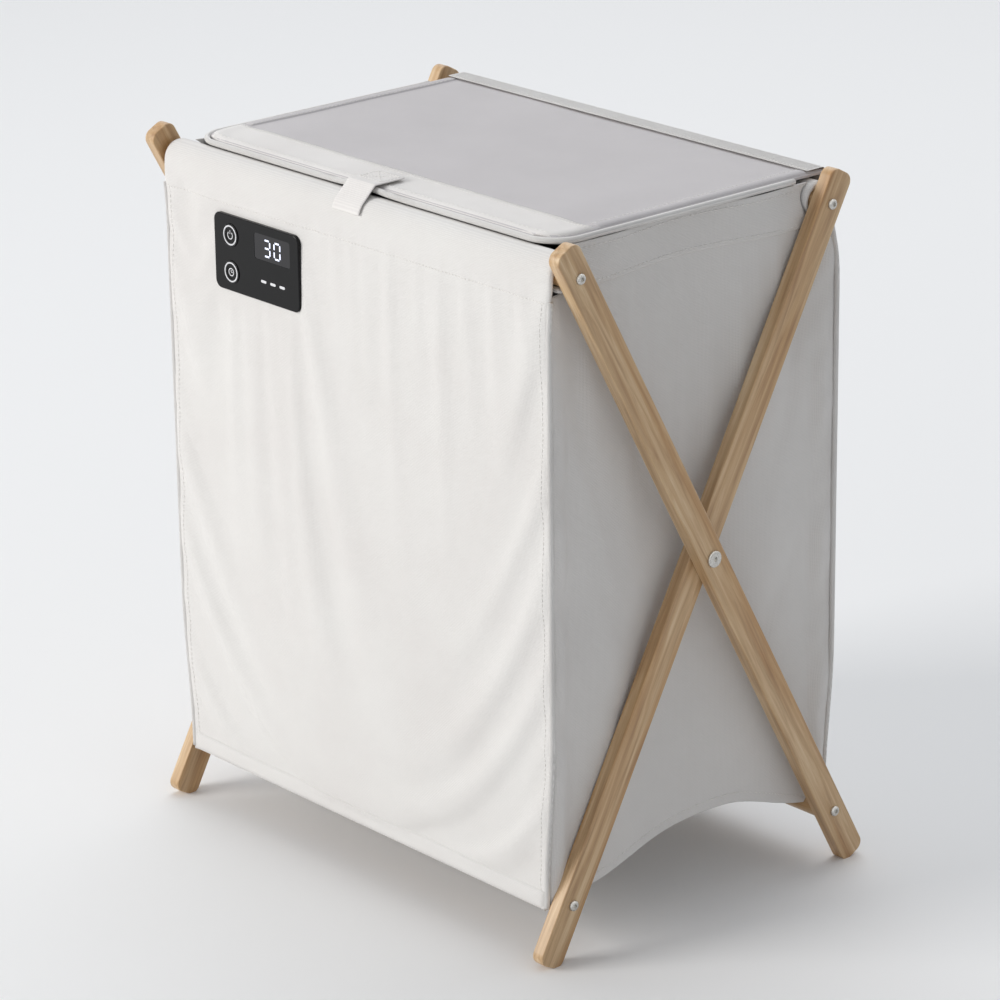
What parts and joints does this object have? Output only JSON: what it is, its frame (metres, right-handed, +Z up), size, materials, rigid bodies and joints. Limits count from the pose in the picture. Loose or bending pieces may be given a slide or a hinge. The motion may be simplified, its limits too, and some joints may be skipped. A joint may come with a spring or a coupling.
{
  "type": "folding towel warmer",
  "caption": "Folding towel warmer: a heated fabric bin hung in a crossed-leg wooden frame, with a hinged lid and a push-button control panel in its front.",
  "frame": {"origin": "on the floor, at the middle of the footprint", "axes": "+Z up, +X to the right seen from the front, the front with the control panel faces -Y"},
  "size_m": [0.5172, 0.3508, 0.5992],
  "materials": {
    "wood": "sanded, clear satin lacquer",
    "steel": "nickel-plated",
    "nylon": "natural",
    "fabric": "woven polyester, off-white",
    "lid_fabric": "woven polyester, light grey",
    "lining": "padded lining",
    "pad": "felt with heating wire inside",
    "cutoff": "moulded",
    "board": "dense hardboard",
    "black_gloss": "piano black",
    "black_matte": "fine texture",
    "circuit_board": "green mask",
    "dark_window": "smoked",
    "light_lens": "translucent white",
    "white_plastic": "moulded",
    "brass": "plain",
    "cable": "PVC sleeve"
  },
  "bodies": {
    "frame_b": {"inner_leg_left": "wood", "inner_leg_right": "wood", "rear_top_rail": "wood", "front_bottom_rail": "wood", "inner_frame_screws": "steel", "pivot_bolts": "steel", "pivot_sleeve_nuts": "steel", "pivot_washers": "nylon"},
    "frame_a": {"outer_leg_left": "wood", "outer_leg_right": "wood", "front_top_rail": "wood", "rear_bottom_rail": "wood", "outer_frame_screws": "steel"},
    "front_wall": {"front_panel": "fabric", "front_lining": "lining", "front_heating_pad": "pad", "front_thermal_cutoff": "cutoff", "control_faceplate": "black_gloss", "control_housing": "black_matte", "control_screws": "steel", "control_board": "circuit_board", "button_switches": "black_matte", "display_window": "dark_window", "display_module": "black_matte", "indicator_lights": "light_lens"},
    "rear_wall": {"rear_panel": "fabric", "rear_lining": "lining", "rear_heating_pad": "pad", "rear_thermal_cutoff": "cutoff", "right_gusset": "fabric", "left_gusset": "fabric", "bottom_panel": "fabric", "cord_gland": "black_matte", "gland_nut": "black_matte", "terminal_box_base": "white_plastic", "terminal_box_cover": "white_plastic", "terminal_block": "white_plastic", "terminal_pins": "brass", "supply_lead": "cable", "lid_hinge_strip": "lid_fabric"},
    "lid": {"lid_cover": "lid_fabric", "lid_board": "board", "lid_lining": "lining", "lid_piping": "lid_fabric", "pull_tab": "lid_fabric"},
    "power_button": {"power_button": "black_gloss"},
    "timer_button": {"timer_button": "black_gloss"}
  },
  "joints": [
    {"name": "frame_fold", "type": "hinge", "parent": "frame_b", "child": "frame_a", "pos_m": [0, 0, 0.31], "axis": [-1, 0, 0], "range_deg": [0, 50], "deforming": ["right_gusset", "left_gusset", "bottom_panel", "supply_lead"]},
    {"name": "front_wall_turn", "type": "hinge", "parent": "frame_a", "child": "front_wall", "pos_m": [0, -0.142, 0.5715], "axis": [1, 0, 0], "range_deg": [0, 25]},
    {"name": "rear_wall_turn", "type": "hinge", "parent": "frame_b", "child": "rear_wall", "pos_m": [0, 0.142, 0.5715], "axis": [-1, 0, 0], "range_deg": [0, 25]},
    {"name": "lid_hinge", "type": "hinge", "parent": "rear_wall", "child": "lid", "pos_m": [0, 0.158, 0.5878], "axis": [-1, 0, 0], "range_deg": [0, 235], "deforming": ["lid_hinge_strip"]},
    {"name": "power_button_press", "type": "slide", "parent": "front_wall", "child": "power_button", "axis": [0, 1, 0], "range_m": [0, 0.001], "stiffness_N_per_m": 1500},
    {"name": "timer_button_press", "type": "slide", "parent": "front_wall", "child": "timer_button", "axis": [0, 1, 0], "range_m": [0, 0.001], "stiffness_N_per_m": 1500}
  ],
  "couplings": [
    {"joint": "front_wall_turn", "follows": "frame_fold", "ratio": 0.5},
    {"joint": "rear_wall_turn", "follows": "frame_fold", "ratio": 0.5}
  ]
}
